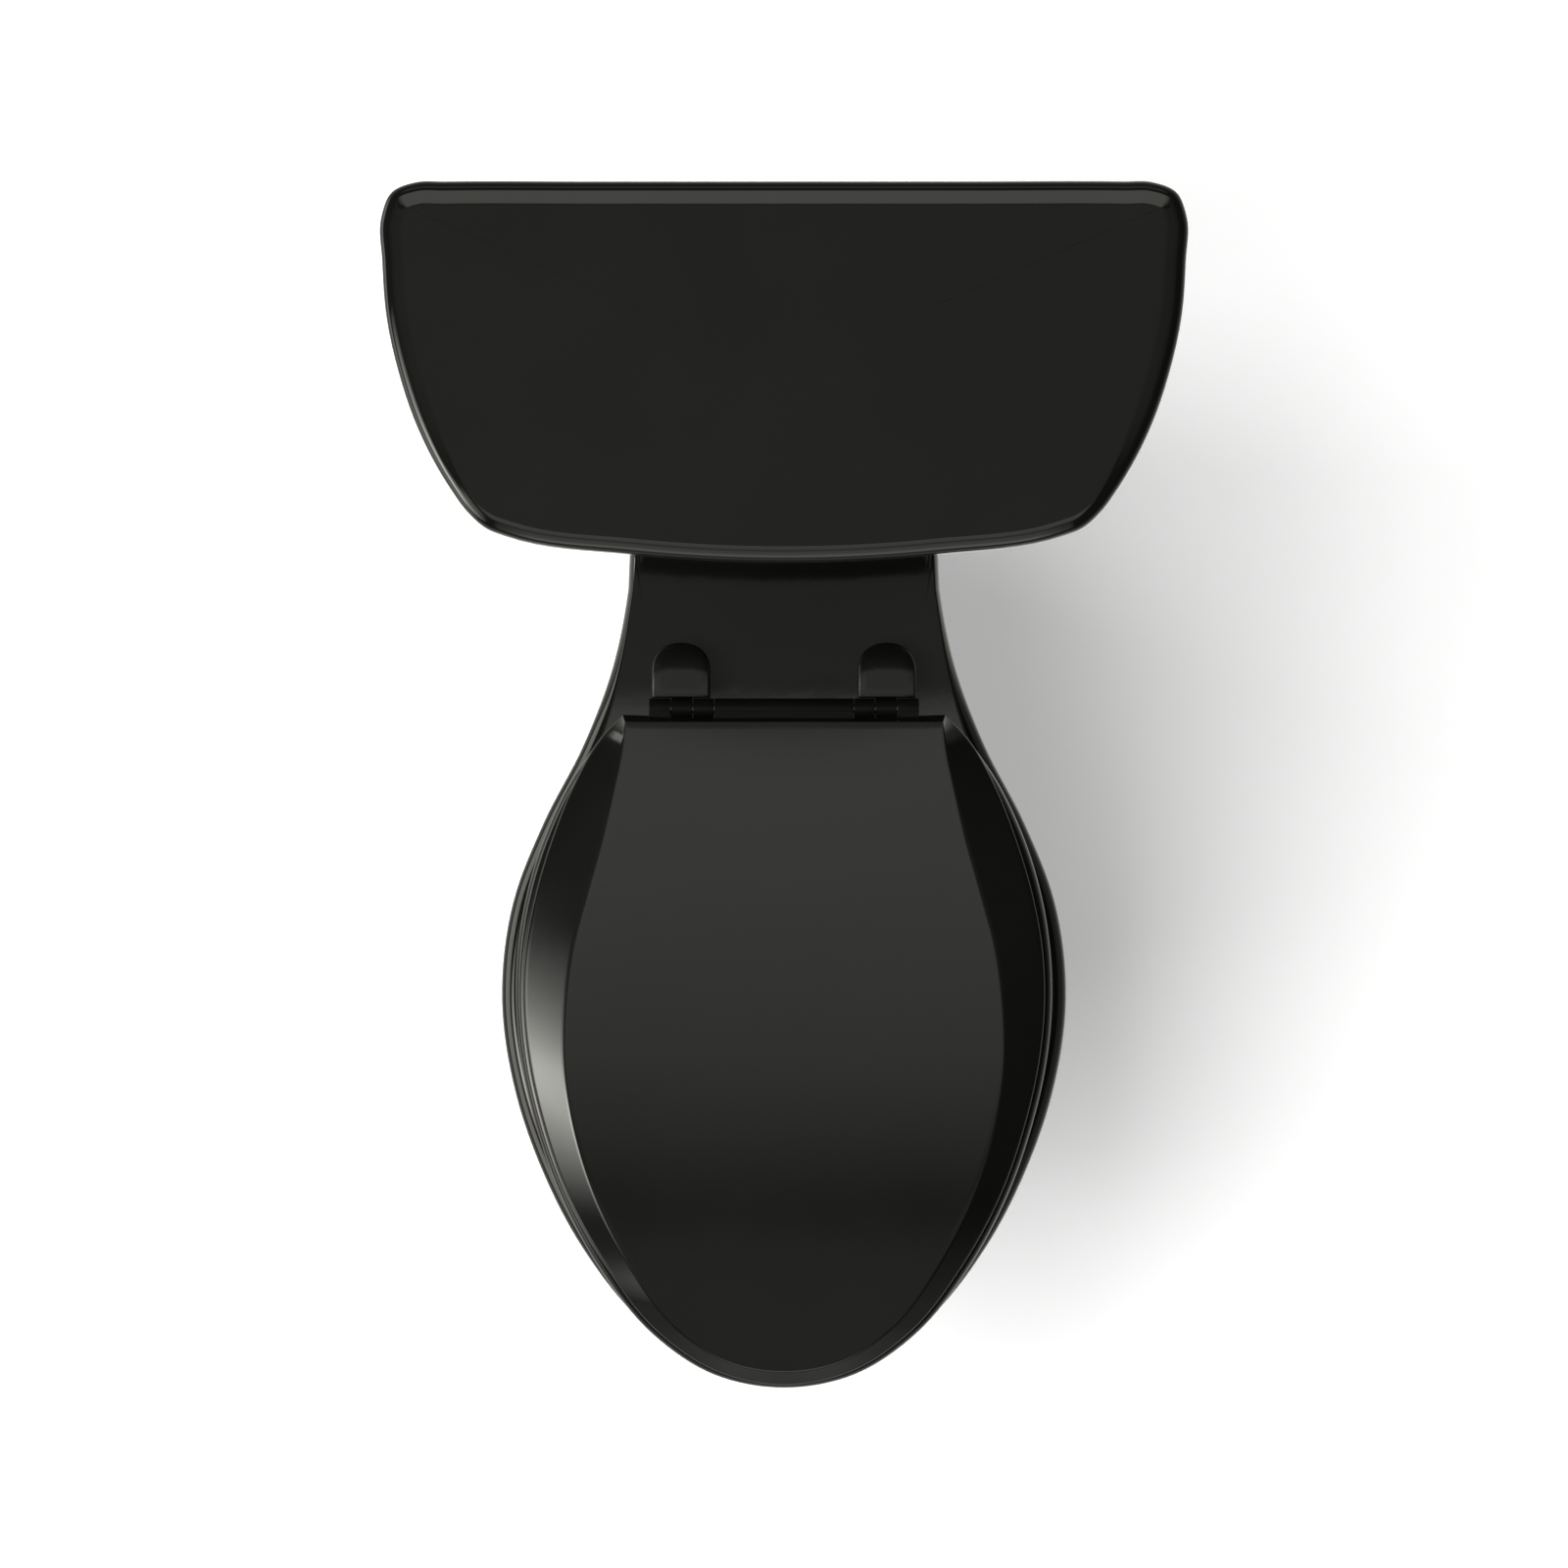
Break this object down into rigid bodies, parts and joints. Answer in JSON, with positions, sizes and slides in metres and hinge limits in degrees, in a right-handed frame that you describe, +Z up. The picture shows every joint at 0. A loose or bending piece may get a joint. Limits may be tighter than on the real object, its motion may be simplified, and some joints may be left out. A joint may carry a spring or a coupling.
{
  "type": "close coupled toilet",
  "caption": "Floor-standing close coupled toilet: elongated bowl on a pedestal, cistern tank with lift-off lid, hinged seat and cover, side flush lever.",
  "frame": {"origin": "on the floor, under the middle of the whole object's plan", "axes": "+X to the right of someone facing the wall, +Y towards the wall, +Z up; the user sits facing -Y"},
  "size_m": [0.5086, 0.7768, 0.7747],
  "materials": {
    "glazed_china": "high-gloss black vitreous glaze",
    "seat_plastic": "polished black thermoset",
    "lever_enamel": "gloss black enamel",
    "black_rubber": "matt moulded",
    "red_rubber": "matt moulded",
    "white_plastic": "moulded",
    "grey_plastic": "moulded",
    "brass": "plain turned",
    "steel": "stainless, satin",
    "vinyl_tube": "soft extruded vinyl"
  },
  "bodies": {
    "toilet": {"bowl": "glazed_china", "trapway": "glazed_china", "tank": "glazed_china", "hinge_post_left": "seat_plastic", "hinge_post_right": "seat_plastic", "floor_bolt_cap_left": "seat_plastic", "floor_bolt_cap_right": "seat_plastic", "spud_gasket": "black_rubber", "flush_valve_gasket": "black_rubber", "fill_valve_washer": "black_rubber", "tank_bolt_washer_left": "black_rubber", "tank_bolt_washer_right": "black_rubber", "tank_pad_left": "black_rubber", "tank_pad_right": "black_rubber", "flush_valve": "white_plastic", "fill_valve_body": "white_plastic", "fill_valve_locknut": "white_plastic", "float_stop": "white_plastic", "seat_bolt_left": "white_plastic", "seat_bolt_right": "white_plastic", "seat_nut_left": "white_plastic", "seat_nut_right": "white_plastic", "flush_valve_nut": "grey_plastic", "fill_valve_cap": "grey_plastic", "refill_clip": "grey_plastic", "lever_nut": "grey_plastic", "tank_bolt_left": "brass", "tank_bolt_right": "brass", "tank_bolt_nut_left": "brass", "tank_bolt_nut_right": "brass", "floor_bolt_left": "brass", "floor_bolt_right": "brass", "floor_nut_left": "brass", "floor_nut_right": "brass", "hinge_pin_left": "steel", "hinge_pin_right": "steel", "floor_washer_left": "steel", "floor_washer_right": "steel", "refill_tube": "vinyl_tube"},
    "tank_lid": {"tank_lid": "glazed_china"},
    "trip_lever": {"trip_lever": "lever_enamel", "lever_arm": "brass"},
    "flapper": {"flapper": "red_rubber"},
    "flapper_chain": {"flapper_chain": "steel"},
    "float_cup": {"float_cup": "grey_plastic"},
    "seat": {"seat_ring": "seat_plastic", "seat_bumper_rear_left": "black_rubber", "seat_bumper_rear_right": "black_rubber", "seat_bumper_front_left": "black_rubber", "seat_bumper_front_right": "black_rubber"},
    "cover": {"seat_cover": "seat_plastic", "cover_bumper_left": "black_rubber", "cover_bumper_right": "black_rubber"},
    "hinge_cap_left": {"hinge_cap_left": "seat_plastic"},
    "hinge_cap_right": {"hinge_cap_right": "seat_plastic"}
  },
  "joints": [
    {"name": "lid_lift", "type": "slide", "parent": "toilet", "child": "tank_lid", "axis": [0, 0, 1], "range_m": [0, 0.2]},
    {"name": "lever_press", "type": "hinge", "parent": "toilet", "child": "trip_lever", "pos_m": [-0.225, 0.265, 0.692], "axis": [1, 0, 0], "range_deg": [0, 26]},
    {"name": "flapper_lift", "type": "hinge", "parent": "toilet", "child": "flapper", "pos_m": [0, 0.234, 0.5], "axis": [1, 0, 0], "range_deg": [0, 16.5]},
    {"name": "chain_lift", "type": "slide", "parent": "toilet", "child": "flapper_chain", "axis": [0, 0, 1], "range_m": [0, 0.0262]},
    {"name": "float_rise", "type": "slide", "parent": "toilet", "child": "float_cup", "axis": [0, 0, 1], "range_m": [0, 0.026]},
    {"name": "seat_lift", "type": "hinge", "parent": "toilet", "child": "seat", "pos_m": [0, 0.0588, 0.44], "axis": [-1, 0, 0], "range_deg": [0, 97]},
    {"name": "cover_lift", "type": "hinge", "parent": "seat", "child": "cover", "pos_m": [0, 0.0588, 0.44], "axis": [1, 0, 0], "range_deg": [-100, 0]},
    {"name": "cap_flip_left", "type": "hinge", "parent": "toilet", "child": "hinge_cap_left", "pos_m": [-0.06775, 0.1015, 0.4305], "axis": [-1, 0, 0], "range_deg": [0, 100]},
    {"name": "cap_flip_right", "type": "hinge", "parent": "toilet", "child": "hinge_cap_right", "pos_m": [0.06775, 0.1015, 0.4305], "axis": [-1, 0, 0], "range_deg": [0, 100]}
  ],
  "couplings": [
    {"joint": "flapper_lift", "follows": "lever_press", "ratio": 0.622},
    {"joint": "chain_lift", "follows": "lever_press", "m_per_rad": 0.057}
  ]
}
